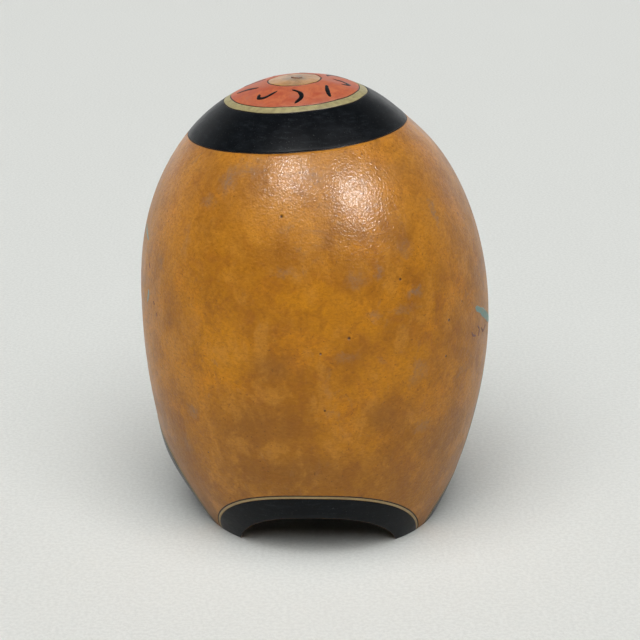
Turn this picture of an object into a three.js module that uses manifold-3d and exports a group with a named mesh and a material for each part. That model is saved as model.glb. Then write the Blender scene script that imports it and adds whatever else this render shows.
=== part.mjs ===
// A decorated gourd shell: a hollow dome, open side down, standing on three feet.
// Three arches are cut in the rim, and the feet are what is left between them.
// Each paint colour is a thin film of its own, let into the rind with a groove round it.
// Millimetres and degrees. +Z is up, the floor is z = 0, and the front faces -Y.
// Azimuths are counted from the front, towards +X.
import * as THREE from 'three';
import { mergeVertices } from 'three/addons/utils/BufferGeometryUtils.js';
import Module from 'manifold-3d';

const wasm = await Module();
wasm.setup();

// The dome. Below its widest ring the outline is part of an ellipse, and above it a superellipse.
const HEIGHT = 258.7;
const WIDEST_RADIUS = 100.1;
const WIDEST_HEIGHT = 124;
const LOWER_ELLIPSE_REACH = 171;
const CROWN_FULLNESS = 2.2;
const WALL = 5;

// A gourd grows a little crooked: the top leans to -X, and the centre line sways on its way up.
const LEAN = 8.1;
const SWAY = 0.8;

// Paint films, and the recesses that hold them. The groove is the burned outline round each film.
const FILM = 0.4;
const RECESS = 0.7;
const GROOVE = 0.5;
const FILM_GAP = 0.3;

// The painted crown: rings about an axis that leans to -X, through the crown's centre of curvature.
// Each edge is a plane square to that axis, at a distance from that centre.
const CROWN_AXIS_TILT = 4;
const CROWN_CENTRE = new THREE.Vector3(-8.1, 0, 179);
const DISC_EDGE = 78.3;
const FIELD_EDGE = 71.4;
const RING_EDGE = 69.2;
const COLLAR_EDGE = 53;

// The arches. An arch rises as crown * (1 - x^shoulder)^steepness, where x runs from 0 at its middle to 1
// at its end. The outer line bounds the painted border, and the opening is cut right through.
const ARCHES = [
  { name: 'front', azimuth: -1.5, shoulder: 2.2, steepness: 0.95, line: [56, 43], opening: [40, 27] },
  { name: 'right', azimuth: 117, shoulder: 3.5, steepness: 0.5, line: [57, 34], opening: [42, 19] },
  { name: 'left', azimuth: -119, shoulder: 5, steepness: 0.5, line: [58, 62], opening: [42, 43] },
];
const ARCH_LINE_WIDTH = 1.5;
const RIM_MM_PER_DEGREE = 1.25;

// Brush marks round the crown's field: u runs along the ring and v outwards, from the mark's middle.
const MARK_COUNT = 9;
const MARK_FIRST_AZIMUTH = 3;
const MARK_RING_RADIUS = 27;
const MARK_WIDTH = 2.8;
const MARK_END_WIDTH = 1.2;
const MARK_PATHS = [
  [[-2.5, -7], [1.5, -3], [2, 2], [-2, 7]],
  [[-4, 5.5], [-1, 0.5], [4, -5.5]],
  [[-4.5, -0.5], [-2, 3], [1.5, 1], [4, -6]],
];

// How finely the curves are faceted.
const ROUND_STEPS = 40;
const INNER_ROUND_STEPS = 28;
const LOWER_STEPS = 6;
const UPPER_STEPS = 9;
const ARCH_STEPS = 14;
const ARCH_RADIAL_STEPS = 4;
const MARK_STEPS = 5;

// Cutting bodies run past what they cut.
const BELOW_FLOOR = 6;
const CUTTER_REACH = 150;
const ARCH_INNER_RADIUS = 50;
const ARCH_OUTER_RADIUS = 115;
const ABOVE_RIND = 2;

const paint = {
  rind: new THREE.MeshStandardMaterial({ color: '#b5762f', roughness: 0.35, metalness: 0 }),
  black: new THREE.MeshStandardMaterial({ color: '#1c1f23', roughness: 0.45, metalness: 0 }),
  khaki: new THREE.MeshStandardMaterial({ color: '#a59b6e', roughness: 0.5, metalness: 0 }),
  red: new THREE.MeshStandardMaterial({ color: '#cd5a37', roughness: 0.5, metalness: 0 }),
};

const radians = THREE.MathUtils.degToRad;

// Turns a closed geometry into a solid that can be cut and joined.
function solid(geometry) {
  const bare = geometry.clone();
  bare.deleteAttribute('normal');
  bare.deleteAttribute('uv');
  const merged = mergeVertices(bare);
  const corners = merged.index.array;
  const kept = [];
  for (let i = 0; i < corners.length; i += 3) {
    const [a, b, c] = corners.slice(i, i + 3);
    if (a !== b && b !== c && c !== a) {
      kept.push(a, b, c);
    }
  }
  const vertProperties = new Float32Array(merged.attributes.position.array);
  return new wasm.Manifold(new wasm.Mesh({ numProp: 3, vertProperties, triVerts: new Uint32Array(kept) }));
}

// A named sub-part from a solid.
function subPart(name, shape, material) {
  const { vertProperties, triVerts } = shape.getMesh();
  const geometry = new THREE.BufferGeometry();
  geometry.setAttribute('position', new THREE.BufferAttribute(vertProperties, 3));
  geometry.setIndex(new THREE.BufferAttribute(triVerts, 1));
  geometry.computeVertexNormals();
  const mesh = new THREE.Mesh(geometry, material);
  mesh.name = name;
  return mesh;
}

// Moves every vertex of a geometry to where place(point) puts it.
function reshape(geometry, place) {
  const position = geometry.attributes.position;
  const point = new THREE.Vector3();
  for (let i = 0; i < position.count; i += 1) {
    point.fromBufferAttribute(position, i);
    place(point);
    position.setXYZ(i, point.x, point.y, point.z);
  }
  return geometry;
}

// The centre line's shift in X at a height.
function leanAt(z) {
  const t = z / HEIGHT;
  return -LEAN * t - SWAY * Math.sin(3 * Math.PI * t);
}

// The outline as radius and height: below the widest ring by height, above it by an angle.
function lowerOutline(t) {
  const z = THREE.MathUtils.lerp(-BELOW_FLOOR, WIDEST_HEIGHT, t);
  const x = (WIDEST_HEIGHT - z) / LOWER_ELLIPSE_REACH;
  return new THREE.Vector2(WIDEST_RADIUS * Math.sqrt(1 - x * x), z);
}

function upperOutline(t) {
  const angle = t * Math.PI / 2;
  const rise = Math.sin(angle) ** (2 / CROWN_FULLNESS);
  return new THREE.Vector2(
    WIDEST_RADIUS * Math.cos(angle),
    THREE.MathUtils.lerp(WIDEST_HEIGHT, HEIGHT, rise),
  );
}

// The outline's points, each moved inwards by inset, square to the outline.
function insetOutline(inset) {
  const points = [];
  const addPoint = (outline, t) => {
    const small = 1e-3;
    const along = outline(Math.min(t + small, 1)).sub(outline(Math.max(t - small, 0))).normalize();
    points.push(outline(t).add(new THREE.Vector2(-along.y, along.x).multiplyScalar(inset)));
  };
  for (let i = 0; i < LOWER_STEPS; i += 1) {
    addPoint(lowerOutline, i / LOWER_STEPS);
  }
  for (let i = 0; i < UPPER_STEPS; i += 1) {
    addPoint(upperOutline, i / UPPER_STEPS);
  }
  return points;
}

// The whole dome filled in, inset all over, and run on below the floor.
function dome(inset, roundSteps = ROUND_STEPS) {
  const outline = insetOutline(inset);
  const bottom = new THREE.Vector2(0, outline[0].y);
  const top = new THREE.Vector2(0, HEIGHT - inset);
  const lathe = new THREE.LatheGeometry([bottom, ...outline, top], roundSteps).rotateX(Math.PI / 2);
  return solid(reshape(lathe, (p) => { p.x += leanAt(p.z); }));
}

// Puts a geometry made about the Z axis on the crown's own axis.
const crownFrame = new THREE.Matrix4()
  .makeRotationY(radians(-CROWN_AXIS_TILT))
  .setPosition(CROWN_CENTRE);

// The space between two edges of the crown's pattern.
function crownSlab(lowEdge, highEdge) {
  const slab = new THREE.BoxGeometry(2 * CUTTER_REACH, 2 * CUTTER_REACH, highEdge - lowEdge);
  slab.translate(0, 0, (lowEdge + highEdge) / 2);
  return solid(slab.applyMatrix4(crownFrame));
}

// The space under an arch, from below the floor to its curve, through the wall.
function archSpace(arch, halfAngle, crown) {
  const box = new THREE.BoxGeometry(2, 1, 1, ARCH_STEPS, ARCH_RADIAL_STEPS, 1);
  return solid(reshape(box, (p) => {
    const x = Math.sin(p.x * Math.PI / 2);
    const angle = radians(arch.azimuth + x * halfAngle);
    const radius = THREE.MathUtils.lerp(ARCH_OUTER_RADIUS, ARCH_INNER_RADIUS, p.y + 0.5);
    const curve = crown * Math.max(0, 1 - Math.abs(x) ** arch.shoulder) ** arch.steepness;
    const z = p.z > 0 ? curve : -BELOW_FLOOR;
    p.set(radius * Math.sin(angle) + leanAt(z), -radius * Math.cos(angle), z);
  }));
}

// The space inside an arch's outer line, narrowed all round by inset.
function archBorderSpace(arch, inset) {
  const [halfAngle, crown] = arch.line;
  return archSpace(arch, halfAngle - inset / RIM_MM_PER_DEGREE, crown - inset);
}

// A stroke's outline: a path with a width that narrows to both ends, widened all round by grow.
function strokeShape(path, grow) {
  const curve = new THREE.SplineCurve(path.map(([u, v]) => new THREE.Vector2(u, v)));
  const left = [];
  const right = [];
  for (let i = 0; i <= MARK_STEPS; i += 1) {
    const t = i / MARK_STEPS;
    const along = curve.getTangent(t);
    const across = new THREE.Vector2(-along.y, along.x);
    const halfWidth = THREE.MathUtils.lerp(MARK_END_WIDTH, MARK_WIDTH, Math.sin(Math.PI * t)) / 2 + grow;
    const reach = grow * (2 * t - 1);
    const middle = curve.getPoint(t).addScaledVector(along, reach);
    left.push(middle.clone().addScaledVector(across, halfWidth));
    right.unshift(middle.clone().addScaledVector(across, -halfWidth));
  }
  return new THREE.Shape([...left, ...right]);
}

// A brush mark's stroke as a column along the crown's axis.
function markColumn(index, grow) {
  const shape = strokeShape(MARK_PATHS[index % MARK_PATHS.length], grow);
  const column = new THREE.ExtrudeGeometry(shape, { depth: CUTTER_REACH, bevelEnabled: false });
  column.rotateZ(Math.PI).translate(0, -MARK_RING_RADIUS, 0);
  column.rotateZ(radians(MARK_FIRST_AZIMUTH + index * 360 / MARK_COUNT));
  return solid(column.applyMatrix4(crownFrame));
}

const floorBox = new THREE.BoxGeometry(2 * CUTTER_REACH, 2 * CUTTER_REACH, 2 * BELOW_FLOOR);
const underFloor = solid(floorBox.translate(0, 0, -BELOW_FLOOR));

const fullDome = dome(0);
const filmLayer = fullDome.subtract(dome(FILM)).subtract(underFloor);
const recessLayer = dome(-ABOVE_RIND).subtract(dome(RECESS));

// The shell: the dome hollowed out, its arches cut, and the recesses for the paint sunk in its rind.
function gourdShell() {
  let shell = fullDome.subtract(dome(WALL, INNER_ROUND_STEPS)).subtract(underFloor);
  shell = shell.subtract(recessLayer.intersect(crownSlab(COLLAR_EDGE, DISC_EDGE)));
  for (const arch of ARCHES) {
    shell = shell.subtract(recessLayer.intersect(archBorderSpace(arch, 0)));
    shell = shell.subtract(archSpace(arch, ...arch.opening));
  }
  return shell;
}

// A ring of the crown's paint, with its half of the groove left free at each edge.
function crownFilm(lowEdge, highEdge) {
  return filmLayer.intersect(crownSlab(lowEdge + GROOVE / 2, highEdge - GROOVE / 2));
}

const gourd = new THREE.Group();
gourd.add(subPart('gourd_shell', gourdShell(), paint.rind));
gourd.add(subPart('collar_band', crownFilm(COLLAR_EDGE, RING_EDGE), paint.black));
gourd.add(subPart('cap_ring', crownFilm(RING_EDGE, FIELD_EDGE), paint.khaki));

let capField = crownFilm(FIELD_EDGE, DISC_EDGE);
for (let i = 0; i < MARK_COUNT; i += 1) {
  gourd.add(subPart(`cap_mark_${i + 1}`, filmLayer.intersect(markColumn(i, 0)), paint.black));
  capField = capField.subtract(markColumn(i, FILM_GAP));
}
gourd.add(subPart('cap_field', capField, paint.red));

for (const arch of ARCHES) {
  const line = archBorderSpace(arch, GROOVE).subtract(archBorderSpace(arch, GROOVE + ARCH_LINE_WIDTH));
  const border = archBorderSpace(arch, 2 * GROOVE + ARCH_LINE_WIDTH).subtract(archSpace(arch, ...arch.opening));
  gourd.add(subPart(`arch_line_${arch.name}`, filmLayer.intersect(line), paint.khaki));
  gourd.add(subPart(`arch_border_${arch.name}`, filmLayer.intersect(border), paint.black));
}

// The origin is under the middle of the whole object, on the floor.
const middle = new THREE.Box3().setFromObject(gourd, true).getCenter(new THREE.Vector3());
gourd.position.set(-middle.x, -middle.y, 0);

export default gourd;
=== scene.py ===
import math
from collections import namedtuple

import bmesh
import bpy
import numpy as np
from mathutils import Matrix, Vector
from mathutils.kdtree import KDTree


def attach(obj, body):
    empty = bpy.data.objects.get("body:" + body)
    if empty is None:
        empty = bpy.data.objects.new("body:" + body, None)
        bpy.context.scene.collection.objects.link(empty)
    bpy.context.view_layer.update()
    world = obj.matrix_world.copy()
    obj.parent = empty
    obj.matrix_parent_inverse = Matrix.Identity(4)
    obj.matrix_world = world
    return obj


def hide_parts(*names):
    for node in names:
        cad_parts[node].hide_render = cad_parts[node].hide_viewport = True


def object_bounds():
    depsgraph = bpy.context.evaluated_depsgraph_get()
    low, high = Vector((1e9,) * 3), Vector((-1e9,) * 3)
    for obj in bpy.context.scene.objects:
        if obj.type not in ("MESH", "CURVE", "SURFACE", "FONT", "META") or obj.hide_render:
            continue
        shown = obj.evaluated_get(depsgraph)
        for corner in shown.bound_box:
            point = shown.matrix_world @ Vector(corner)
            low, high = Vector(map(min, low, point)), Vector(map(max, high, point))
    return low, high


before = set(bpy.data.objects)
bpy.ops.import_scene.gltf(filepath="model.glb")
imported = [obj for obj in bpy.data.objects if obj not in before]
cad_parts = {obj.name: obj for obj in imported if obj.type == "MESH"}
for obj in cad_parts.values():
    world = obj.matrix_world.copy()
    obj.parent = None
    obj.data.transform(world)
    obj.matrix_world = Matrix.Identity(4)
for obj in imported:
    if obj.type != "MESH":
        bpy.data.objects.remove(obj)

CAD_LOW, CAD_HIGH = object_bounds()
MM = 0.001

# ---------------------------------------------------------------------------------------------
# The dome's shape. The driving sizes that the frame can give are read from it.
# ---------------------------------------------------------------------------------------------
HEIGHT = CAD_HIGH.z / MM
WIDEST_RADIUS = (CAD_HIGH.y - CAD_LOW.y) / 2 / MM
WIDEST_HEIGHT = 124.0
LOWER_ELLIPSE_REACH = 171.0
CROWN_FULLNESS = 2.2
WALL = 5.0
LEAN = 8.1
SWAY = 0.8

# The crown's painted rings lie square to a tilted axis through a centre below the crown.
CROWN_AXIS_TILT = math.radians(4.0)
CROWN_CENTRE_HEIGHT = 179.0
DISC_EDGE, FIELD_EDGE, RING_EDGE, COLLAR_EDGE = 78.3, 71.4, 69.2, 53.0

# The arches: middle azimuth, the curve's shoulder and steepness, and half angle and crown height
# of the burned outer line and of the opening.
Arch = namedtuple("Arch", "middle shoulder steepness line opening")
ARCHES = {
    "front": Arch(-1.5, 2.2, 0.95, line=(56.0, 43.0), opening=(40.0, 27.0)),
    "right": Arch(117.0, 3.5, 0.5, line=(57.0, 34.0), opening=(42.0, 19.0)),
    "left": Arch(-119.0, 5.0, 0.5, line=(58.0, 62.0), opening=(42.0, 43.0)),
}
ARCH_LINE_WIDTH = 1.5
RIM_MM_PER_DEGREE = 1.25

# The burned outlines are grooves, and the paint stands a little above the rind beside them.
GROOVE_HALF_WIDTH = 0.45
GROOVE_DEPTH = 0.35
FILM_SIDE = 0.3
FILM_TOP = 0.12
FILM_UNDER = -0.2

# The shell's slow lumps: size in millimetres, waves round, waves upwards and phase.
LUMPS = ((0.30, 3, 5.0, 0.4), (0.22, 5, -7.0, 2.1), (0.16, 2, 13.0, 1.3), (0.10, 9, 17.0, 0.7))

# How the hand-drawn crown edges waver: size in millimetres, waves round and how the phase goes with the edge.
WAVERS = ((0.14, 3, 1), (0.10, 7, 2), (0.06, 13, 3))

# Where two of those edges dip: the dip's depth in millimetres and its azimuth. Their spread is in degrees.
EDGE_DIPS = {COLLAR_EDGE: (0.6, -30), RING_EDGE: (0.7, 48)}
EDGE_DIP_SPREAD = 22

# How many times a range is halved to find a place on the dome.
BISECTIONS = 40


def lean_at(z):
    """The centre line's X at a height, from where it meets the floor."""
    t = z / HEIGHT
    return -LEAN * t - SWAY * np.sin(3 * math.pi * t)


# The row frame's origin is under the middle of the box, and the box is set by the widest ring.
ORIGIN_SHIFT = -float(lean_at(WIDEST_HEIGHT))

# The outline's points in each half, and how far it runs on below the floor.
OUTLINE_SAMPLES = 4000
BELOW_FLOOR = 10.0


def make_meridian():
    """The outline from below the floor to the apex: arc length from the floor, radius, height, and
    the outward normal's two parts."""
    z = np.linspace(-BELOW_FLOOR, WIDEST_HEIGHT, OUTLINE_SAMPLES)
    lower = WIDEST_RADIUS * np.sqrt(1 - ((WIDEST_HEIGHT - z) / LOWER_ELLIPSE_REACH) ** 2)
    angle = np.linspace(0, math.pi / 2, OUTLINE_SAMPLES)[1:]
    upper = WIDEST_RADIUS * np.cos(angle)
    rise = np.sin(angle) ** (2 / CROWN_FULLNESS)
    r = np.concatenate([lower, upper])
    z = np.concatenate([z, WIDEST_HEIGHT + (HEIGHT - WIDEST_HEIGHT) * rise])
    r[-1] = 0.0
    s = np.concatenate([[0.0], np.cumsum(np.hypot(np.diff(r), np.diff(z)))])
    s -= np.interp(0.0, z, s)
    dr, dz = np.gradient(r, s), np.gradient(z, s)
    size = np.hypot(dr, dz)
    return s, r, z, dz / size, -dr / size


ARC, RADIUS, RISE, NORMAL_R, NORMAL_Z = make_meridian()
ARC_LENGTH = ARC[-1]


def arc_at_height(z):
    """Arc length from the floor to a height."""
    return np.interp(z, RISE, ARC)


def hump(value, middle, width):
    """1 at the middle, falling smoothly to 0 a few widths away."""
    return np.exp(-((value - middle) / width) ** 2)


def bulge(rise, azimuth, middle, spread, arc, centre, reach):
    """A bulge of rise millimetres, or a flat if it is negative. middle and spread are degrees round the
    shell, centre and reach are millimetres along its outline."""
    return rise * hump(azimuth, middle, spread) * hump(arc, centre, reach)


def unevenness(azimuth, arc):
    """The slow lumps and flats of a grown shell, in millimetres."""
    a = np.radians(azimuth)
    up = arc / ARC_LENGTH
    fade = np.clip((1 - up) * 6, 0, 1) * np.clip(arc / 40, 0, 1)
    lumps = sum(
        size * np.sin(around * a + upwards * up + phase) for size, around, upwards, phase in LUMPS
    )
    left = (azimuth + 360) % 360
    haunch_fade = np.clip(arc / 12, 0, 1)
    left_haunch = bulge(3.0, left, middle=263, spread=24, arc=arc, centre=42, reach=20) * haunch_fade
    left_shoulder = bulge(-1.3, left, middle=265, spread=50, arc=arc, centre=0.70 * ARC_LENGTH, reach=40)
    right_shoulder = bulge(-1.2, azimuth, middle=90, spread=50, arc=arc, centre=0.79 * ARC_LENGTH, reach=18)
    flat_crown = -0.7 * hump(arc, ARC_LENGTH, 22)
    return lumps * fade + left_haunch + left_shoulder + right_shoulder + flat_crown


def on_dome(azimuth, arc, lift=0.0):
    """Points on the dome in metres, moved outwards by lift millimetres."""
    azimuth, arc = np.broadcast_arrays(np.asarray(azimuth, float), np.asarray(arc, float))
    lift = lift + unevenness(azimuth, arc)
    r = np.interp(arc, ARC, RADIUS) + lift * np.interp(arc, ARC, NORMAL_R)
    z = np.interp(arc, ARC, RISE) + lift * np.interp(arc, ARC, NORMAL_Z)
    a = np.radians(azimuth)
    x = r * np.sin(a) + lean_at(z) + ORIGIN_SHIFT
    return np.stack([x, -r * np.cos(a), np.maximum(z, 0)], axis=-1) * MM


# ---------------------------------------------------------------------------------------------
# Places on the crown and round the arches
# ---------------------------------------------------------------------------------------------
CROWN_AXIS = np.array([-math.sin(CROWN_AXIS_TILT), 0.0, math.cos(CROWN_AXIS_TILT)])
CROWN_ACROSS = np.array([math.cos(CROWN_AXIS_TILT), 0.0, math.sin(CROWN_AXIS_TILT)])
CROWN_CENTRE = np.array([ORIGIN_SHIFT - LEAN, 0.0, CROWN_CENTRE_HEIGHT])


def smooth_dome(azimuth, arc):
    """Points on the dome in millimetres, without its unevenness."""
    r, z = np.interp(arc, ARC, RADIUS), np.interp(arc, ARC, RISE)
    a = np.radians(azimuth)
    return np.stack([r * np.sin(a) + lean_at(z) + ORIGIN_SHIFT, -r * np.cos(a), z], axis=-1)


def crown_edge_arc(azimuth, edge):
    """The arc length at which each azimuth's meridian crosses an edge of the crown's pattern. The edges
    were drawn by hand, so they waver a little."""
    low = np.full_like(azimuth, 0.5 * ARC_LENGTH)
    high = np.full_like(azimuth, ARC_LENGTH)
    for _ in range(BISECTIONS):
        middle = (low + high) / 2
        above = (smooth_dome(azimuth, middle) - CROWN_CENTRE) @ CROWN_AXIS > edge
        high = np.where(above, middle, high)
        low = np.where(above, low, middle)
    a = np.radians(azimuth)
    waver = sum(size * np.sin(waves * a + turn * edge) for size, waves, turn in WAVERS)
    if edge in EDGE_DIPS:
        depth, middle_azimuth = EDGE_DIPS[edge]
        waver -= depth * hump(azimuth, middle_azimuth, EDGE_DIP_SPREAD)
    return (low + high) / 2 + waver


def crown_place(around, out):
    """Azimuth and arc length of a place on the crown, given round the crown's axis and out from it."""
    around, out = np.broadcast_arrays(np.asarray(around, float), np.asarray(out, float))
    a = np.radians(around)
    sideways = (np.sin(a) * out)[..., None] * CROWN_ACROSS
    forwards = (np.cos(a) * out)[..., None] * np.array([0.0, -1.0, 0.0])
    low, high = np.zeros_like(a), np.full_like(a, 2 * DISC_EDGE)
    for _ in range(BISECTIONS):
        middle = (low + high) / 2
        p = CROWN_CENTRE + sideways + forwards + middle[..., None] * CROWN_AXIS
        across = np.hypot(p[..., 0] - lean_at(p[..., 2]) - ORIGIN_SHIFT, p[..., 1])
        inside = (p[..., 2] < HEIGHT) & (across < np.interp(p[..., 2], RISE, RADIUS))
        low = np.where(inside, middle, low)
        high = np.where(inside, high, middle)
    p = CROWN_CENTRE + sideways + forwards + low[..., None] * CROWN_AXIS
    azimuth = np.degrees(np.arctan2(p[..., 0] - lean_at(p[..., 2]) - ORIGIN_SHIFT, -p[..., 1]))
    return azimuth, arc_at_height(p[..., 2])


def disc_reach():
    """How far the bare disc reaches from its middle, in metres."""
    edge = on_dome(0.0, crown_edge_arc(np.zeros(1), DISC_EDGE)[0])
    return float(np.linalg.norm(edge - on_dome(*crown_place(0.0, 0.0))))


DISC_REACH = disc_reach()


def arch_rise(arch, crown, x):
    """The height of an arch's curve at x, which is 0 in its middle and 1 or -1 at its ends."""
    return crown * np.clip(1 - np.abs(x) ** arch.shoulder, 0, 1) ** arch.steepness


def arch_curve(arch, size, along):
    """Azimuth and height along an arch's curve. along runs from -1 to 1."""
    half_angle, crown = size
    x = np.sin(np.asarray(along, float) * math.pi / 2)
    return arch.middle + half_angle * x, arch_rise(arch, crown, x)


def narrowed(arch, inset):
    """An arch's outer line drawn in by inset millimetres."""
    half_angle, crown = arch.line
    return half_angle - inset / RIM_MM_PER_DEGREE, crown - inset


def from_middle(azimuth, arch):
    """Degrees from an arch's middle, from -180 to 180."""
    return (azimuth - arch.middle + 180) % 360 - 180


def arches_height(azimuth, curve):
    """The height at each azimuth of the arches' curves, which is 0 on a foot. The curve is "line", the
    burned outer one, or "opening", the shell's lower edge."""
    height = np.zeros_like(azimuth)
    for arch in ARCHES.values():
        half_angle, crown = getattr(arch, curve)
        height = np.maximum(height, arch_rise(arch, crown, from_middle(azimuth, arch) / half_angle))
    return height


# ---------------------------------------------------------------------------------------------
# Meshes
# ---------------------------------------------------------------------------------------------
def add_mesh(name, points, faces, materials, face_materials=None):
    """A smooth-shaded piece that rides on the shell's body."""
    mesh = bpy.data.meshes.new(name)
    mesh.from_pydata(points.reshape(-1, 3).tolist(), [], faces)
    for material in materials:
        mesh.materials.append(material)
    if face_materials is not None:
        mesh.polygons.foreach_set("material_index", face_materials)
    mesh.polygons.foreach_set("use_smooth", [True] * len(mesh.polygons))
    outwards = bmesh.new()
    outwards.from_mesh(mesh)
    bmesh.ops.recalc_face_normals(outwards, faces=outwards.faces)
    outwards.to_mesh(mesh)
    outwards.free()
    piece = bpy.data.objects.new(name, mesh)
    bpy.context.scene.collection.objects.link(piece)
    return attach(piece, "root")


def grid_faces(columns, rows, start, wrap):
    """Four-sided faces of a grid whose points are numbered down each column from start."""
    faces = []
    for i in range(columns if wrap else columns - 1):
        a, b = start + i * rows, start + (i + 1) % columns * rows
        faces += [(a + j, b + j, b + j + 1, a + j + 1) for j in range(rows - 1)]
    return faces


def edge_faces(first, second, wrap):
    """Faces that join two rows of points."""
    count = len(first) if wrap else len(first) - 1
    following = [(i + 1) % len(first) for i in range(count)]
    return [(first[i], second[i], second[k], first[k]) for i, k in enumerate(following)]


ARCH_COLUMNS = 90
FOOT_COLUMNS = 30


def shell_azimuths():
    """The shell's columns: close together where an opening's edge is steep, even across the feet."""
    spans = []
    for arch in sorted(ARCHES.values(), key=lambda arch: arch.middle):
        azimuth, _ = arch_curve(arch, arch.opening, np.linspace(-1, 1, ARCH_COLUMNS))
        spans.append(azimuth)
    filled = []
    for i, span in enumerate(spans):
        following = spans[(i + 1) % len(spans)][0]
        following += 360 if following < span[-1] else 0
        foot = np.linspace(span[-1], following, FOOT_COLUMNS + 2)[1:-1]
        filled += [span, foot]
    return np.concatenate(filled)


def sawn_shift(azimuth, ratio):
    """How far the inner edge of the rim is turned, because the arches are sawn straight through the
    wall and not towards the centre. ratio is the wall's outer radius over its inner one at the rim.
    Across a foot the turn runs evenly from one arch's to the next's."""
    turn = np.zeros_like(azimuth)
    sawn = np.zeros(len(azimuth), bool)
    for arch in ARCHES.values():
        part = from_middle(azimuth, arch)
        here = np.abs(part) < arch.opening[0] + 0.01
        straight = np.degrees(np.arcsin(np.clip(np.sin(np.radians(part)) * ratio, -1, 1)))
        turn = np.where(here, straight - part, turn)
        sawn |= here
    return np.interp(azimuth, azimuth[sawn], turn[sawn], period=360)


# The arches' outlines are followed through this many points, up to this arc length.
OUTLINE_POINTS = 1500
ARCHES_REACH = 110.0


def burn_distance(azimuth, arc, points):
    """Millimetres from each point of the shell's outside to the nearest burned outline. Near the arches
    the distance is negative inside the outline, so that it crosses zero between two points."""
    edges = (DISC_EDGE, FIELD_EDGE, RING_EDGE, COLLAR_EDGE)
    distance = np.min([np.abs(arc - crown_edge_arc(azimuth, edge)) for edge in edges], axis=0)

    lines = []
    for arch in ARCHES.values():
        line_azimuth, line_z = arch_curve(arch, arch.line, np.linspace(-1, 1, OUTLINE_POINTS))
        lines.append(on_dome(line_azimuth, arc_at_height(line_z)))
    lines = np.concatenate(lines)
    tree = KDTree(len(lines))
    for i, p in enumerate(lines):
        tree.insert(p, i)
    tree.balance()
    near_floor = arc < ARCHES_REACH
    found = np.array([tree.find(p)[2] for p in points[near_floor]]) / MM
    height = points[near_floor][:, 2] / MM
    found = np.where(height < arches_height(azimuth[near_floor], "line"), -found, found)
    distance[near_floor] = found
    return distance


def groove_lift(offset):
    """The depth of a burned groove's section at a distance from its middle."""
    return -GROOVE_DEPTH * np.clip(1 - (np.abs(offset) / GROOVE_HALF_WIDTH) ** 2, 0, 1)


# The shell's rows: across a groove, up to the waist, up to each crown edge, on the disc and inside.
GROOVE_ROWS = np.array([-0.45, -0.25, 0.0, 0.25, 0.45])
WAIST_HEIGHT = 95.0
ROWS_TO_WAIST = 44
ROWS_TO_EDGE = {COLLAR_EDGE: 84, RING_EDGE: 12, FIELD_EDGE: 1, DISC_EDGE: 12}
ROWS_ON_DISC = 14
INNER_ROWS = 40

# The inside's last row, as a fraction of the outline's length, and how soon its turn at the rim fades.
INNER_TOP = 0.999
SAWN_FADE = 6

# The distance to an outline that stands for far away, on the inside.
UNBURNED = 50.0


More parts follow.
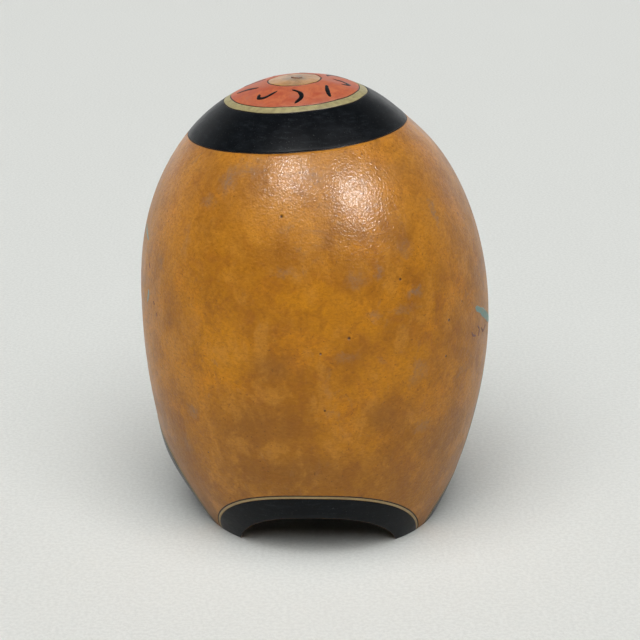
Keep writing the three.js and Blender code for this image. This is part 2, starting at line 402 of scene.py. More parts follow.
def make_shell(outside, inside, cut):
    """The whole shell: its outside with the burned grooves, its inside, and the sawn rim between."""
    azimuth = shell_azimuths()
    rim = arc_at_height(arches_height(azimuth, "opening"))
    waist = np.full_like(azimuth, float(arc_at_height(WAIST_HEIGHT)))
    arcs, lifts = [], []

    def add_rows(low, high, count):
        """Level rows between two others, which aren't added."""
        for t in np.linspace(0, 1, count + 2)[1:-1]:
            arcs.append(low + (high - low) * t)
            lifts.append(np.zeros_like(azimuth))

    arcs.append(rim)
    lifts.append(np.zeros_like(azimuth))
    add_rows(rim, waist, ROWS_TO_WAIST)
    arcs.append(waist)
    lifts.append(np.zeros_like(azimuth))
    low = waist
    for edge, count in ROWS_TO_EDGE.items():
        at = crown_edge_arc(azimuth, edge)
        add_rows(low, at + GROOVE_ROWS[0], count)
        for offset in GROOVE_ROWS:
            arcs.append(at + offset)
            lifts.append(np.full_like(azimuth, groove_lift(offset)))
        low = at + GROOVE_ROWS[-1]
    add_rows(low, np.full_like(azimuth, ARC_LENGTH), ROWS_ON_DISC)

    arc = np.stack(arcs, axis=1)
    lift = np.stack(lifts, axis=1)
    turned = np.repeat(azimuth[:, None], arc.shape[1], axis=1)
    outer = on_dome(turned, arc, lift)
    columns, rows = arc.shape
    apex = on_dome(0.0, ARC_LENGTH)

    # The inside starts level with the outside's edge, so that the feet stand flat and the cuts are level.
    inner_r, inner_z = RADIUS - WALL * NORMAL_R, RISE - WALL * NORMAL_Z
    inner_start = np.interp(outer[:, 0, 2] / MM, inner_z, ARC)
    along = np.linspace(0, 1, INNER_ROWS)
    inner_arc = inner_start[:, None] + (ARC_LENGTH * INNER_TOP - inner_start)[:, None] * along
    ratio = np.interp(arc[:, 0], ARC, RADIUS) / np.interp(inner_start, ARC, inner_r)
    shift = sawn_shift(azimuth, ratio)
    inner_azimuth = azimuth[:, None] + shift[:, None] * np.clip(1 - along * SAWN_FADE, 0, 1)
    inner = on_dome(inner_azimuth, inner_arc, -WALL)
    inner[:, 0, 2] = outer[:, 0, 2]
    inner_apex = on_dome(0.0, ARC_LENGTH, -WALL)

    points = np.concatenate([outer.reshape(-1, 3), inner.reshape(-1, 3), [apex], [inner_apex]])
    inner_first = columns * rows
    apex_index = inner_first + columns * INNER_ROWS
    outer_faces = grid_faces(columns, rows, 0, wrap=True)
    inner_faces = grid_faces(columns, INNER_ROWS, inner_first, wrap=True)
    for i in range(columns):
        k = (i + 1) % columns
        outer_faces.append((i * rows + rows - 1, k * rows + rows - 1, apex_index))
        top_a = inner_first + i * INNER_ROWS + INNER_ROWS - 1
        top_b = inner_first + k * INNER_ROWS + INNER_ROWS - 1
        inner_faces.append((top_b, top_a, apex_index + 1))
    outer_edge = [i * rows for i in range(columns)]
    inner_edge = [inner_first + i * INNER_ROWS for i in range(columns)]
    rim_faces = edge_faces(outer_edge, inner_edge, wrap=True)
    faces = outer_faces + inner_faces + rim_faces
    kinds = [0] * len(outer_faces) + [1] * len(inner_faces) + [2] * len(rim_faces)
    shell = add_mesh("gourd_shell_rind", points, faces, [outside, inside, cut], kinds)

    burn = np.full(len(points), UNBURNED)
    burn[:inner_first] = burn_distance(turned.ravel(), arc.ravel(), outer.reshape(-1, 3))
    attribute = shell.data.attributes.new("burn", "FLOAT", "POINT")
    attribute.data.foreach_set("value", burn.astype(np.float32))
    sharp = shell.data.attributes.new("sharp_edge", "BOOLEAN", "EDGE")
    outlines = (set(outer_edge), set(inner_edge))
    ends = [tuple(edge.vertices) for edge in shell.data.edges]
    sharp.data.foreach_set("value", [any(a in line and b in line for line in outlines) for a, b in ends])
    return shell


# The films' columns, and how their edges round down: the last row's lift in millimetres, and the lift of
# the row beside it as a fraction of the film's.
CROWN_FILM_COLUMNS = 360
ARCH_FILM_COLUMNS = 241
FILM_EDGE_LIFT = -0.04
FILM_SHOULDER = 0.6


def make_film(name, azimuth, arc, material, wrap=False, top=FILM_TOP):
    """A coat of paint as a thin closed solid on the dome. azimuth and arc are grids, columns by rows,
    and the coat rounds down to the rind along its first and last rows."""
    columns, rows = arc.shape
    lift = np.full(rows, top)
    lift[[0, -1]] = FILM_EDGE_LIFT
    lift[[1, -2]] = top * FILM_SHOULDER
    over = on_dome(azimuth, arc, lift[None, :])
    under = on_dome(azimuth, arc, FILM_UNDER)
    points = np.concatenate([over.reshape(-1, 3), under.reshape(-1, 3)])
    first = columns * rows
    faces = grid_faces(columns, rows, 0, wrap)
    faces += grid_faces(columns, rows, first, wrap)
    for j in (0, rows - 1):
        near = [i * rows + j for i in range(columns)]
        faces += edge_faces(near, [first + n for n in near], wrap)
    if not wrap:
        for i in (0, columns - 1):
            near = [i * rows + j for j in range(rows)]
            faces += edge_faces(near, [first + n for n in near], wrap)
    return add_mesh(name, points, faces, [material])


def rounded_steps(length, count):
    """Fractions across a film of a given width, with extra rows to round its edges."""
    edge = np.array([0.0, 0.12, 0.35]) / length
    inner = np.linspace(edge[-1], 1 - edge[-1], max(count, 2))[1:-1]
    return np.concatenate([edge, inner, 1 - edge[::-1]])


def make_crown_film(name, low_edge, high_edge, material, rows):
    """A ring of paint between two edges of the crown's pattern."""
    azimuth = np.linspace(-180, 180, CROWN_FILM_COLUMNS + 1)[:-1]
    low = crown_edge_arc(azimuth, low_edge) + FILM_SIDE
    high = crown_edge_arc(azimuth, high_edge) - FILM_SIDE
    t = rounded_steps(float(np.mean(high - low)), rows)
    arc = low[:, None] + (high - low)[:, None] * t
    grid = np.repeat(azimuth[:, None], len(t), axis=1)
    return make_film(name, grid, arc, material, wrap=True)


def make_arch_film(name, arch, outer, inner, material, rows):
    """A band of paint along an arch between two of its curves."""
    along = np.linspace(-1, 1, ARCH_FILM_COLUMNS)
    outer_azimuth, outer_z = arch_curve(arch, outer, along)
    inner_azimuth, inner_z = arch_curve(arch, inner, along)
    t = rounded_steps(outer[1] - inner[1], rows)[None, :]
    azimuth = outer_azimuth[:, None] + (inner_azimuth - outer_azimuth)[:, None] * t
    z = outer_z[:, None] + (inner_z - outer_z)[:, None] * t
    return make_film(name, azimuth, arc_at_height(z), material)


def smooth_path(points, count):
    """Points along a smooth curve through a few given ones."""
    points = np.array(points, float)
    padded = np.concatenate([[2 * points[0] - points[1]], points, [2 * points[-1] - points[-2]]])
    found = []
    for t in np.linspace(0, len(points) - 1 - 1e-9, count):
        i, f = int(t), t - int(t)
        a, b, c, d = padded[i:i + 4]
        bend, twist = 2 * a - 5 * b + 4 * c - d, 3 * b - a - 3 * c + d
        found.append(0.5 * (2 * b + (c - a) * f + bend * f ** 2 + twist * f ** 3))
    return np.array(found)


# A stroke's points along it, the wavers of its edges and its points across, as fractions of half its width.
STROKE_POINTS = 40
STROKE_WAVERS = 12
STROKE_ACROSS = np.array([-1.0, -0.85, -0.55, 0.0, 0.55, 0.85, 1.0])


def make_stroke(name, path, width, place, material, seed=0, top=FILM_TOP, ragged=0.12, ends=0.35):
    """A brush stroke. path is in millimetres on the surface, and place turns such points into azimuth
    and arc length. The stroke swells in its middle and its edges waver a little."""
    rng = np.random.default_rng(seed)
    middle = smooth_path(path, STROKE_POINTS)
    along = np.gradient(middle, axis=0)
    along /= np.linalg.norm(along, axis=1)[:, None]
    across = np.stack([-along[:, 1], along[:, 0]], axis=1)
    t = np.linspace(0, 1, len(middle))
    body = ends + (1 - ends) * np.sin(math.pi * t) ** 0.7
    tip = np.clip(np.minimum(t, 1 - t) * 14, 0.05, 1) ** 0.5
    wavers = rng.uniform(-1, 1, STROKE_WAVERS)
    waver = 1 + ragged * np.interp(t, np.linspace(0, 1, STROKE_WAVERS), wavers)
    half = width / 2 * body * tip * waver
    grid = middle[:, None, :] + across[:, None, :] * half[:, None, None] * STROKE_ACROSS[None, :, None]
    azimuth, arc = place(grid[..., 0], grid[..., 1])
    return make_film(name, azimuth, arc, material, top=top)


# ---------------------------------------------------------------------------------------------
# Materials
# ---------------------------------------------------------------------------------------------
def put(tree, socket, value):
    """Gives an input a constant or another node's output."""
    if isinstance(value, bpy.types.NodeSocket):
        tree.links.new(value, socket)
    else:
        socket.default_value = value


def smooth_rise(tree, value, low, high, start, end):
    """A smooth rise from start to end as value goes from low to high."""
    node = tree.nodes.new("ShaderNodeMapRange")
    node.interpolation_type = "SMOOTHSTEP"
    for socket, number in zip(node.inputs, (value, low, high, start, end)):
        put(tree, socket, number)
    return node.outputs["Result"]


class Surface:
    """A node material while it is put together. Sizes are in millimetres, colours are linear."""

    def __init__(self, name):
        """Starts with a shader and the place on the object that its textures are read at."""
        self.material = bpy.data.materials.new(name)
        self.material.use_nodes = True
        self.tree = self.material.node_tree
        self.tree.nodes.clear()
        self.output = self.tree.nodes.new("ShaderNodeOutputMaterial")
        self.shader = self.tree.nodes.new("ShaderNodeBsdfPrincipled")
        self.tree.links.new(self.shader.outputs["BSDF"], self.output.inputs["Surface"])
        self.place = self.tree.nodes.new("ShaderNodeTexCoord").outputs["Object"]

    def put(self, socket, value):
        """Gives an input a constant or another node's output."""
        put(self.tree, socket, value)

    def maths(self, operation, *values):
        """One operation on numbers."""
        node = self.tree.nodes.new("ShaderNodeMath")
        node.operation = operation
        for socket, value in zip(node.inputs, values):
            self.put(socket, value)
        return node.outputs[0]

    def stretched(self, x=1.0, y=1.0, z=1.0, shift=0.0):
        """The place scaled along each axis and shifted, so that two noises of one size differ."""
        node = self.tree.nodes.new("ShaderNodeMapping")
        self.put(node.inputs["Vector"], self.place)
        node.inputs["Scale"].default_value = (x, y, z)
        node.inputs["Location"].default_value = (shift, shift * 0.7, -shift)
        return node.outputs["Vector"]

    def noise(self, size, detail=4.0, roughness=0.55, distortion=0.0, at=None):
        """Noise whose lumps are about size millimetres across."""
        node = self.tree.nodes.new("ShaderNodeTexNoise")
        self.put(node.inputs["Vector"], self.place if at is None else at)
        node.inputs["Scale"].default_value = 1.0 / (size * MM)
        node.inputs["Detail"].default_value = detail
        node.inputs["Roughness"].default_value = roughness
        node.inputs["Distortion"].default_value = distortion
        return node.outputs["Fac"]

    def between(self, value, low, high, start=0.0, end=1.0):
        """A smooth rise from start to end as value goes from low to high."""
        return smooth_rise(self.tree, value, low, high, start, end)

    def mix(self, factor, first, second):
        """The first colour where factor is 0 and the second where it is 1."""
        node = self.tree.nodes.new("ShaderNodeMix")
        node.data_type = "RGBA"
        node.blend_type = "MIX"
        sockets = {socket.identifier: socket for socket in node.inputs}
        self.put(sockets["Factor_Float"], factor)
        self.put(sockets["A_Color"], first)
        self.put(sockets["B_Color"], second)
        return {socket.identifier: socket for socket in node.outputs}["Result_Color"]

    def vector(self, operation, *values):
        """One operation on vectors."""
        node = self.tree.nodes.new("ShaderNodeVectorMath")
        node.operation = operation
        for socket, value in zip(node.inputs, values):
            self.put(socket, value)
        return node.outputs["Value" if operation in ("LENGTH", "DISTANCE") else "Vector"]

    def height(self):
        """Metres above the floor."""
        node = self.tree.nodes.new("ShaderNodeSeparateXYZ")
        self.put(node.inputs[0], self.place)
        return node.outputs["Z"]

    def distance(self, point):
        """Metres from a point."""
        return self.vector("DISTANCE", self.place, tuple(float(v) for v in point))

    def warped(self, size, reach):
        """The place moved about by up to half of reach millimetres, to give patches ragged edges."""
        node = self.tree.nodes.new("ShaderNodeTexNoise")
        self.put(node.inputs["Vector"], self.place)
        node.inputs["Scale"].default_value = 1.0 / (size * MM)
        node.inputs["Detail"].default_value = 4.0
        node.inputs["Roughness"].default_value = 0.65
        moved = self.vector("SUBTRACT", node.outputs["Color"], (0.5, 0.5, 0.5))
        moved = self.vector("MULTIPLY", moved, (2 * reach * MM,) * 3)
        return self.vector("ADD", self.place, moved)

    def patches(self, place, spots, inner=0.2, outer=1.3):
        """Soft patches on the dome, each an azimuth, a height, a half width, a half height and a strength."""
        together = None
        for azimuth, z, half_width, half_height, strength in spots:
            node = self.tree.nodes.new("ShaderNodeMapping")
            node.vector_type = "TEXTURE"
            node.inputs["Location"].default_value = on_dome(azimuth, arc_at_height(z)).tolist()
            node.inputs["Rotation"].default_value = (0.0, 0.0, math.radians(azimuth))
            node.inputs["Scale"].default_value = (half_width * MM, PATCH_DEPTH * MM, half_height * MM)
            self.put(node.inputs["Vector"], place)
            out = self.vector("LENGTH", node.outputs["Vector"])
            patch = self.between(out, inner, outer, strength, 0.0)
            together = patch if together is None else self.maths("MAXIMUM", together, patch)
        return together

    def attribute(self, name):
        """A number that the mesh carries at each of its points."""
        node = self.tree.nodes.new("ShaderNodeAttribute")
        node.attribute_name = name
        return node.outputs["Fac"]

    def bump(self, height, depth):
        """Relief of depth millimetres from a height between 0 and 1."""
        node = self.tree.nodes.new("ShaderNodeBump")
        node.inputs["Strength"].default_value = 1.0
        node.inputs["Distance"].default_value = depth * MM
        self.put(node.inputs["Height"], height)
        return node.outputs["Normal"]

    def finish(self, colour, roughness, normal, **constants):
        """Joins everything to the shader. constants are its own inputs, with _ for each space."""
        self.put(self.shader.inputs["Base Color"], colour)
        self.put(self.shader.inputs["Roughness"], roughness)
        self.put(self.shader.inputs["Normal"], normal)
        self.put(self.shader.inputs["Coat Normal"], normal)
        for name, value in constants.items():
            self.shader.inputs[name.replace("_", " ")].default_value = value
        return self.material


def colour(red, green, blue):
    """A colour given as it looks, from 0 to 255, as linear light."""
    def linear(v):
        """One channel of it."""
        v /= 255
        return v / 12.92 if v <= 0.04045 else ((v + 0.055) / 1.055) ** 2.4
    return (linear(red), linear(green), linear(blue), 1.0)


SCORCH = colour(38, 24, 15)

# How far a patch of colour reaches through the shell, in millimetres.
PATCH_DEPTH = 40.0

# Pinholes in the rind: azimuth, height and radius.
PINHOLES = [
    (-9, 202, 1.0), (48, 138, 0.9), (30, 167, 0.8), (3, 98, 0.8), (56, 145, 0.6), (11, 139, 1.0),
    (46, 118, 0.8), (2, 131, 0.7), (-40, 62, 0.6), (112, 150, 0.9), (151, 96, 0.8), (-136, 171, 0.9),
]

# Grey-violet mould stains: azimuth, height, half width, half height and how strong they are.
STAINS = [
    (-33, 216, 5.0, 6.5, 0.85), (-25, 222, 8.0, 3.0, 0.6), (-40, 205, 5.0, 3.0, 0.6),
    (4, 221, 7.0, 3.0, 0.5), (52, 195, 2.2, 7.0, 0.8), (35, 159, 5.5, 2.8, 0.95),
    (23, 173, 2.6, 5.0, 0.75), (15, 170, 6.0, 5.0, 0.5), (19, 150, 4.5, 3.0, 0.55),
    (30, 151, 8.0, 2.2, 0.5), (34, 182, 5.0, 5.0, 0.45), (-59, 166, 3.0, 6.0, 0.6),
    (-46, 183, 3.0, 9.0, 0.35), (-8, 174, 7.0, 2.6, 0.5), (-44, 86, 5.0, 4.0, 0.8),
    (-51, 62, 4.0, 7.0, 0.6), (-66, 110, 3.0, 12.0, 0.5), (38, 80, 6.0, 4.0, 0.6),
    (34, 118, 5.0, 3.0, 0.5), (10, 128, 6.0, 3.0, 0.5), (118, 170, 8.0, 6.0, 0.7),
    (160, 120, 9.0, 4.0, 0.6), (-150, 140, 7.0, 8.0, 0.7), (-108, 195, 6.0, 4.0, 0.6),
    (-165, 70, 6.0, 5.0, 0.6), (95, 205, 5.0, 3.0, 0.6), (140, 60, 6.0, 4.0, 0.5),
    (-95, 90, 5.0, 7.0, 0.5),
]

# Broad shades of the rind, as above: light golden ones and dark brown ones.
GOLDEN_STRENGTH = 0.4
GOLDEN = [
    (12, 152, 30, 20), (48, 190, 22, 26), (-12, 205, 26, 22),
    (28, 112, 26, 20), (-30, 130, 20, 24), (150, 150, 30, 30),
]
BROWNED_STRENGTH = 0.6
BROWNED = [
    (-20, 82, 36, 22), (-4, 60, 40, 14), (24, 92, 18, 12),
    (-14, 122, 16, 10), (-60, 60, 20, 26), (52, 66, 24, 20),
]


def rind_surface():
    """Polished gourd skin: golden and brown clouds, mould stains, pepper specks and burned outlines."""
    s = Surface("rind")
    clouds = s.noise(48, detail=6, roughness=0.62, distortion=0.5)
    amber = s.noise(24, detail=6, roughness=0.65, at=s.stretched(shift=0.31))
    blotches = s.noise(11, detail=6, roughness=0.7, distortion=0.6, at=s.stretched(shift=0.57))
    mould = s.noise(17, detail=7, roughness=0.7, distortion=0.9, at=s.stretched(z=0.8, shift=0.83))
    pale = s.noise(16, detail=5, roughness=0.6, distortion=0.4, at=s.stretched(z=0.7, shift=0.21))
    streaks = s.noise(1.2, detail=4, roughness=0.75, at=s.stretched(x=0.55, y=0.55, shift=0.12))
    grain = s.noise(2.2, detail=5, roughness=0.75, at=s.stretched(x=0.8, y=0.8))
    specks = s.noise(1.5, detail=2, roughness=0.6, at=s.stretched(shift=0.44))

    tone = s.mix(s.between(clouds, 0.32, 0.68), colour(162, 101, 6), colour(199, 129, 8))
    tone = s.mix(s.between(amber, 0.48, 0.72, 0, 0.8), tone, colour(212, 134, 8))
    tone = s.mix(s.between(blotches, 0.46, 0.7, 0, 0.65), tone, colour(158, 94, 24))
    edges = s.warped(9.0, 7.0)
    golden = s.patches(edges, [spot + (GOLDEN_STRENGTH,) for spot in GOLDEN])
    tone = s.mix(golden, tone, colour(211, 138, 5))
    browned = s.patches(edges, [spot + (BROWNED_STRENGTH,) for spot in BROWNED])
    tone = s.mix(browned, tone, colour(140, 90, 32))
    haze = s.between(s.height(), 0.13, 0.235, 0.0, 0.34)
    hazy = s.maths("MULTIPLY", haze, s.between(blotches, 0.3, 0.6, 1.0, 0.55))
    tone = s.mix(hazy, tone, colour(184, 132, 80))
    tone = s.mix(s.between(s.height(), 0.11, 0.03, 0.0, 0.55), tone, colour(136, 90, 32))
    tone = s.mix(s.between(pale, 0.5, 0.66, 0, 0.5), tone, colour(204, 138, 46))
    tone = s.mix(s.between(pale, 0.46, 0.34, 0, 0.4), tone, colour(140, 84, 14))
    tone = s.mix(s.between(grain, 0.44, 0.7, 0, 0.36), tone, colour(130, 78, 12))
    tone = s.mix(s.between(streaks, 0.45, 0.72, 0, 0.36), tone, colour(122, 72, 10))
    tone = s.mix(s.between(streaks, 0.48, 0.3, 0, 0.12), tone, colour(232, 166, 64))
    mottled = s.maths("MULTIPLY", s.between(mould, 0.57, 0.75), s.between(grain, 0.3, 0.6, 0.3, 0.65))
    tone = s.mix(mottled, tone, colour(146, 112, 76))
    stained = s.patches(s.warped(4.0, 7.0), STAINS, 0.0, 1.5)
    broken = s.between(s.noise(1.8, detail=5, roughness=0.8), 0.38, 0.6, 0.3, 1.0)
    stain = s.maths("MULTIPLY", stained, broken)
    tone = s.mix(stain, tone, colour(138, 110, 86))
    pepper = s.maths("MULTIPLY", s.between(specks, 0.63, 0.7), s.between(amber, 0.4, 0.6, 0.1, 0.5))
    tone = s.mix(pepper, tone, colour(70, 40, 18))

    pits = s.patches(s.place, [(azimuth, z, size, size, 1.0) for azimuth, z, size in PINHOLES])
    tone = s.mix(s.maths("MULTIPLY", pits, 0.9), tone, colour(40, 18, 8))

    # The bare disc at the crown's top, with a grey smudge round the blossom scar.
    from_disc = s.distance(on_dome(*crown_place(0.0, 0.0)))
    bare = s.mix(s.between(mould, 0.42, 0.62, 0, 0.6), colour(188, 138, 82), colour(142, 104, 62))
    smudged = s.maths("ADD", from_disc, s.maths("MULTIPLY", s.noise(5, detail=4), 0.012))
    bare = s.mix(s.between(smudged, 0.007, 0.016, 0.85, 0.0), bare, colour(112, 102, 80))
    tone = s.mix(s.between(from_disc, DISC_REACH, DISC_REACH + 0.0006, 1.0, 0.0), tone, bare)

    burn = s.maths("ABSOLUTE", s.attribute("burn"))
    ragged = s.maths("MULTIPLY", s.maths("SUBTRACT", s.noise(2.2, detail=3), 0.5), 0.3)
    line = s.between(s.maths("ADD", burn, ragged), 0.25, 0.75, 1.0, 0.0)
    tone = s.mix(line, tone, SCORCH)

    gloss = s.between(mould, 0.4, 0.75, 0.36, 0.5)
    gloss = s.maths("ADD", gloss, s.maths("MULTIPLY", stain, 0.15))
    gloss = s.maths("ADD", gloss, s.maths("MULTIPLY", line, 0.25))
    pebbles = s.noise(1.15, detail=2, roughness=0.5, at=s.stretched(shift=0.7))
    relief = s.maths("ADD", s.maths("MULTIPLY", pebbles, 2.1), s.maths("MULTIPLY", streaks, 0.3))
    relief = s.maths("ADD", relief, s.maths("MULTIPLY", s.noise(5.5, detail=3, roughness=0.5), 1.8))
    relief = s.maths("SUBTRACT", relief, s.maths("MULTIPLY", pits, 4.0))
    relief = s.maths("SUBTRACT", relief, s.maths("MULTIPLY", line, 1.2))
    return s.finish(
        tone, gloss, s.bump(relief, 0.12), Specular_IOR_Level=0.15, Coat_Weight=0.25, Coat_Roughness=0.13,
    )


def inside_surface():
    """The raw, fibrous inside of the shell: a brown darkened to near black as painted shade for the unlit
    hollow.
    """
    s = Surface("rind_inside")
    fibres = s.noise(3.0, detail=6, roughness=0.7, at=s.stretched(z=0.3))
    patches = s.noise(28, detail=5, roughness=0.6)
    tone = s.mix(s.between(patches, 0.35, 0.65), colour(20, 11, 5), colour(32, 18, 9))
    tone = s.mix(s.between(fibres, 0.45, 0.7, 0, 0.6), tone, colour(12, 7, 4))
    return s.finish(tone, 0.9, s.bump(fibres, 0.5))


def cut_surface():
    """The sawn and sanded edge of the wall."""
    s = Surface("rind_cut")
    pores = s.noise(0.9, detail=4, roughness=0.7)
    tone = s.mix(s.between(pores, 0.4, 0.7), colour(150, 118, 80), colour(96, 66, 40))
    return s.finish(tone, 0.75, s.bump(pores, 0.15))


def black_surface():
    """Satin black paint, faintly blue, brushed, scuffed and dusty."""
    s = Surface("black_paint")
    wear = s.noise(9, detail=7, roughness=0.75, distortion=0.5)
    brush = s.noise(1.6, detail=4, roughness=0.7, at=s.stretched(x=0.2, y=0.2))
    dust = s.noise(0.8, detail=3, roughness=0.7, at=s.stretched(shift=0.2))
    tone = s.mix(s.between(wear, 0.42, 0.7), colour(2, 5, 9), colour(10, 15, 20))
    tone = s.mix(s.between(brush, 0.5, 0.75, 0, 0.5), tone, colour(34, 40, 44))
    tone = s.mix(s.between(dust, 0.62, 0.72, 0, 0.5), tone, colour(92, 94, 92))
    gloss = s.between(wear, 0.35, 0.7, 0.38, 0.5)
    relief = s.maths("ADD", s.maths("MULTIPLY", brush, 0.5), s.maths("MULTIPLY", wear, 0.8))
    return s.finish(
        tone, gloss, s.bump(relief, 0.07), Specular_IOR_Level=0.1, Sheen_Weight=0.22, Sheen_Roughness=0.25,
    )


def khaki_surface():
    """Thin khaki paint, a little streaked."""
    s = Surface("khaki_paint")
    streaks = s.noise(4, detail=6, roughness=0.7)
    specks = s.noise(1.0, detail=3, roughness=0.7, at=s.stretched(shift=0.3))
    tone = s.mix(s.between(streaks, 0.35, 0.68), colour(176, 164, 114), colour(144, 132, 90))
    tone = s.mix(s.between(s.height(), 0.08, 0.15, 0.6, 0.0), tone, colour(146, 112, 66))
    tone = s.mix(s.between(specks, 0.62, 0.72, 0, 0.4), tone, colour(110, 92, 60))
    return s.finish(tone, 0.5, s.bump(streaks, 0.06))


def red_surface():
    """Orange-red paint brushed thin, paler and pinker where it is worn."""
    s = Surface("red_paint")
    streaks = s.noise(7, detail=7, roughness=0.72, distortion=0.6)
    washes = s.noise(16, detail=5, roughness=0.6, at=s.stretched(shift=0.4))
    specks = s.noise(0.9, detail=3, roughness=0.7, at=s.stretched(shift=0.15))
    tone = s.mix(s.between(streaks, 0.35, 0.68), colour(176, 72, 38), colour(202, 110, 64))
    tone = s.mix(s.between(washes, 0.45, 0.7, 0, 0.6), tone, colour(182, 112, 88))
    tone = s.mix(s.between(specks, 0.62, 0.72, 0, 0.35), tone, colour(120, 46, 34))
    gloss = s.between(streaks, 0.35, 0.7, 0.45, 0.6)
    return s.finish(tone, gloss, s.bump(streaks, 0.08))


def teal_surface():
    """Grey-green paint, rubbed thin."""
    s = Surface("teal_paint")
    rubbed = s.noise(2.5, detail=6, roughness=0.75)
    tone = s.mix(s.between(rubbed, 0.42, 0.66), colour(112, 150, 142), colour(140, 142, 122))
    return s.finish(tone, 0.5, s.bump(rubbed, 0.06))


def brown_surface():
    """Burned brown strokes."""
    s = Surface("burned_brown")
    scorch = s.noise(1.4, detail=5, roughness=0.7)
    tone = s.mix(s.between(scorch, 0.4, 0.65), colour(92, 48, 26), colour(140, 84, 52))
    return s.finish(tone, 0.55, s.bump(scorch, 0.08))


# ---------------------------------------------------------------------------------------------
# The object
# ---------------------------------------------------------------------------------------------
rind, black, khaki, red = rind_surface(), black_surface(), khaki_surface(), red_surface()
teal, brown = teal_surface(), brown_surface()

shell = make_shell(rind, inside_surface(), cut_surface())
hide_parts("gourd_shell")

# The crown's films: piece, node, slot, lower edge, upper edge, material and rows.
CROWN_FILMS = [
    ("collar_paint", "collar_band", "black_paint", COLLAR_EDGE, RING_EDGE, black, 16),
    ("cap_ring_paint", "cap_ring", "khaki_paint", RING_EDGE, FIELD_EDGE, khaki, 4),
    ("cap_field_paint", "cap_field", "red_paint", FIELD_EDGE, DISC_EDGE, red, 18),
]
for name, node, slot, low_edge, high_edge, material, rows in CROWN_FILMS:
    film = make_crown_film(name, low_edge, high_edge, material, rows)
    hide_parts(node)

ARCH_LINE_ROWS = 4
ARCH_BORDER_ROWS = 12
for side, arch in ARCHES.items():
    outer = narrowed(arch, FILM_SIDE)
    between = narrowed(arch, ARCH_LINE_WIDTH + FILM_SIDE)
    line = make_arch_film(f"arch_line_paint_{side}", arch, outer, between, khaki, ARCH_LINE_ROWS)
    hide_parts(f"arch_line_{side}")
    border = make_arch_film(
        f"arch_border_paint_{side}", arch, between, arch.opening, black, ARCH_BORDER_ROWS,
    )
    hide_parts(f"arch_border_{side}")

# Generic brush marks, in turn round the crown: u runs along the ring and v outwards.
MARK_PATHS = [
    [(-2.5, -7.0), (1.5, -3.0), (2.0, 2.0), (-2.0, 7.0)],
    [(-4.0, 5.5), (-1.0, 0.5), (4.0, -5.5)],
    [(-4.5, -0.5), (-2.0, 3.0), (1.5, 1.0), (4.0, -6.0)],
]
MARK_WIDTH = 2.8
MARK_COUNT = 9
MARK_FIRST_AZIMUTH = 3.0
MARK_RING_RADIUS = 27.0


def on_mark(index):
    """Turns a mark's own millimetres, along the ring and outwards, into a place on the dome."""
    middle = MARK_FIRST_AZIMUTH + index * 360 / MARK_COUNT

    def place(u, v):
        """The azimuth and arc length of one mark's own place."""
        out = MARK_RING_RADIUS + v
        around = middle + np.degrees(np.arctan2(u, out))
        return crown_place(around, np.hypot(u, out))

    return place


for index in range(MARK_COUNT):
    mark = make_stroke(
        f"brush_mark_{index + 1}", MARK_PATHS[index % len(MARK_PATHS)], MARK_WIDTH, on_mark(index), black,
        seed=index, top=FILM_TOP * 2, ends=0.5,
    )
    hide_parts(f"cap_mark_{index + 1}")

# What shows of the sides' painting: each stroke's name, its points as azimuth and height, its width, its
# material and its slot.
SIDE_STROKES = [
    ("teal_stroke_right", [(65, 136.5), (71, 131), (80, 122), (88, 116)], 4.6, teal, "teal_paint"),
    ("teal_stroke_left", [(-83.5, 177), (-79, 174.5), (-73.8, 172)], 2.2, teal, "teal_paint"),
    ("teal_stroke_left_low", [(-68.5, 146), (-69, 142), (-70, 138)], 2.0, teal, "teal_paint"),
    ("teal_line_right", [(82, 89), (80.5, 62), (78, 37.5)], 1.4, teal, "teal_paint"),
    ("brown_tick_1", [(61.5, 124), (62.5, 121.5), (65, 120)], 1.4, brown, "rind"),
    ("brown_tick_2", [(66.5, 125), (68, 122), (67, 118.5)], 1.6, brown, "rind"),
    ("brown_tick_3", [(70, 122), (72.5, 118.5), (75.5, 120.5)], 1.6, brown, "rind"),
    ("brown_tick_4", [(76.5, 125), (77, 121)], 1.2, brown, "rind"),
    ("brown_tick_5", [(-69.5, 161), (-68, 158.5)], 1.6, brown, "rind"),
    ("brown_tick_6", [(-64, 141.6), (-63, 140)], 1.3, brown, "rind"),
    ("brown_tick_7", [(-61.5, 136), (-61, 134.2)], 1.3, brown, "rind"),
]


FIRST_SIDE_SEED = 100


def make_side_stroke(name, points, width, material, seed):
    """A stroke on the shell's side through points that are azimuth and height."""
    middle_azimuth, middle_z = np.mean(points, axis=0)
    middle_arc = arc_at_height(middle_z)
    millimetres_per_degree = math.radians(np.interp(middle_arc, ARC, RADIUS))
    path = [
        ((azimuth - middle_azimuth) * millimetres_per_degree, arc_at_height(z) - middle_arc)
        for azimuth, z in points
    ]

    def place(u, v):
        """Turns millimetres round the shell and along its outline into a place on the dome."""
        return middle_azimuth + u / millimetres_per_degree, middle_arc + v

    return make_stroke(name, path, width, place, material, seed=seed, ragged=0.25, ends=0.6)


for index, (name, points, width, material, slot) in enumerate(SIDE_STROKES):
    stroke = make_side_stroke(name, points, width, material, seed=FIRST_SIDE_SEED + index)

# The blossom scar in the middle of the bare disc: a small dry curl.
SCAR_PATH = [(-1.2, -2.8), (-0.4, 0.6), (1.6, 2.0), (4.2, 1.2)]
SCAR_WIDTH = 1.3
SCAR_HEIGHT = 0.35
SCAR_TURNED = 20.0


def on_scar(u, v):
    """Turns the scar's own millimetres into a place on the crown."""
    return crown_place(SCAR_TURNED + np.degrees(np.arctan2(u, v)), np.hypot(u, v))


scar = make_stroke(
    "blossom_scar", SCAR_PATH, SCAR_WIDTH, on_scar, brown, seed=7, top=SCAR_HEIGHT, ragged=0.3,
)

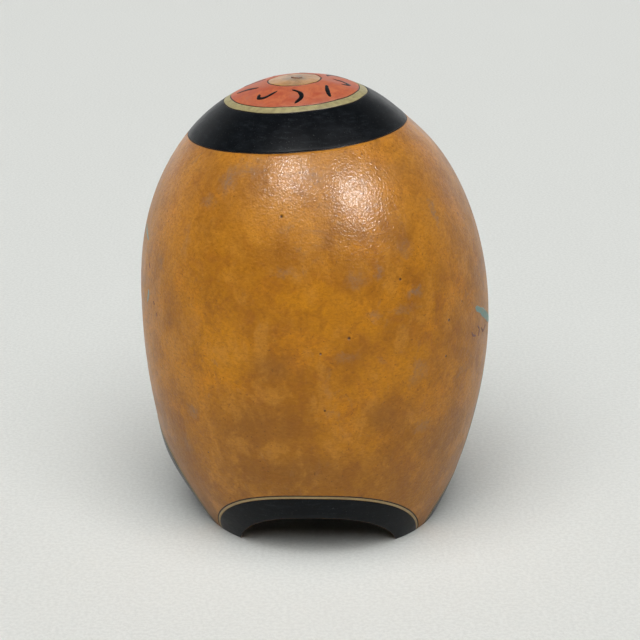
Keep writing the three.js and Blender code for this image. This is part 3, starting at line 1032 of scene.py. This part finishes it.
# ---------------------------------------------------------------------------------------------
# Floor, lights and camera
# ---------------------------------------------------------------------------------------------
FLOOR_SIZE = 8.0


def make_floor():
    """A plain pale floor."""
    s = Surface("floor")
    cloth = s.noise(2.2, detail=4, roughness=0.7)
    tone = s.mix(s.between(cloth, 0.35, 0.65), colour(229, 231, 227), colour(219, 221, 217))
    material = s.finish(tone, 0.95, s.bump(cloth, 0.25))
    bpy.ops.mesh.primitive_plane_add(size=FLOOR_SIZE)
    floor = bpy.context.object
    floor.name = "floor"
    floor.data.materials.append(material)


def make_lamp(name, toward, distance, size, watts, target):
    """A round lamp, seen from target in a given direction, that only shows in the polish."""
    data = bpy.data.lights.new(name, "AREA")
    data.shape = "DISK"
    data.size = size
    data.energy = watts
    lamp = bpy.data.objects.new(name, data)
    direction = Vector(toward).normalized()
    lamp.location = Vector(target) + direction * distance
    lamp.rotation_euler = direction.to_track_quat("Z", "Y").to_euler()
    lamp.visible_diffuse = False
    bpy.context.scene.collection.objects.link(lamp)


def make_sun(strength, spread, toward):
    """An even overhead light with no shape of its own in the reflections."""
    data = bpy.data.lights.new("sky_light", "SUN")
    data.energy = strength
    data.angle = math.radians(spread)
    light = bpy.data.objects.new("sky_light", data)
    light.rotation_euler = Vector(toward).to_track_quat("Z", "Y").to_euler()
    light.visible_glossy = False
    bpy.context.scene.collection.objects.link(light)


def make_room(front, back, ceiling):
    """A plain room: a pale wall behind the object, a dim room in front of it and a dim ceiling."""
    world = bpy.data.worlds.new("room")
    world.use_nodes = True
    tree = world.node_tree
    split = tree.nodes.new("ShaderNodeSeparateXYZ")
    tree.links.new(tree.nodes.new("ShaderNodeTexCoord").outputs["Generated"], split.inputs[0])

    walls = smooth_rise(tree, split.outputs["Y"], -0.5, 0.8, front, back)
    strength = smooth_rise(tree, split.outputs["Z"], 0.1, 0.7, walls, ceiling)
    tree.links.new(strength, tree.nodes["Background"].inputs["Strength"])
    tree.nodes["Background"].inputs["Color"].default_value = (0.97, 0.99, 1.0, 1.0)
    world.cycles_visibility.diffuse = False
    bpy.context.scene.world = world


make_floor()
UPPER_FRONT = (0, -0.05, 0.2)
LAMP_DISTANCE = 1.7
make_lamp("lamp_left", (-0.147, -0.485, 0.862), LAMP_DISTANCE, size=0.20, watts=24, target=UPPER_FRONT)
make_lamp("lamp_right", (0.53, -0.487, 0.694), LAMP_DISTANCE, size=0.36, watts=36, target=UPPER_FRONT)
make_sun(strength=3.3, spread=62, toward=(-0.04, -0.52, 1))
make_room(front=0.05, back=1.2, ceiling=0.12)
bpy.context.scene.view_settings.view_transform = "Standard"

# The camera looks at the middle of the gourd's height from the front and above.
FOCAL_LENGTH = 112.5
SENSOR_WIDTH = 36.0
CAMERA_DISTANCE = 1.157
CAMERA_ELEVATION = math.radians(18.9)
CAMERA_ROLL = math.radians(-0.21)
AIM_BELOW = math.radians(0.69)

camera_data = bpy.data.cameras.new("camera")
camera_data.lens = FOCAL_LENGTH
camera_data.sensor_width = SENSOR_WIDTH
camera = bpy.data.objects.new("camera", camera_data)
bpy.context.scene.collection.objects.link(camera)
back = Vector((0, -math.cos(CAMERA_ELEVATION), math.sin(CAMERA_ELEVATION)))
camera.location = Vector((ORIGIN_SHIFT * MM, 0, CAD_HIGH.z / 2)) + back * CAMERA_DISTANCE
facing = back.to_track_quat("Z", "Y").to_matrix()
facing = facing @ Matrix.Rotation(-AIM_BELOW, 3, "X") @ Matrix.Rotation(CAMERA_ROLL, 3, "Z")
camera.rotation_euler = facing.to_euler()
bpy.context.scene.camera = camera
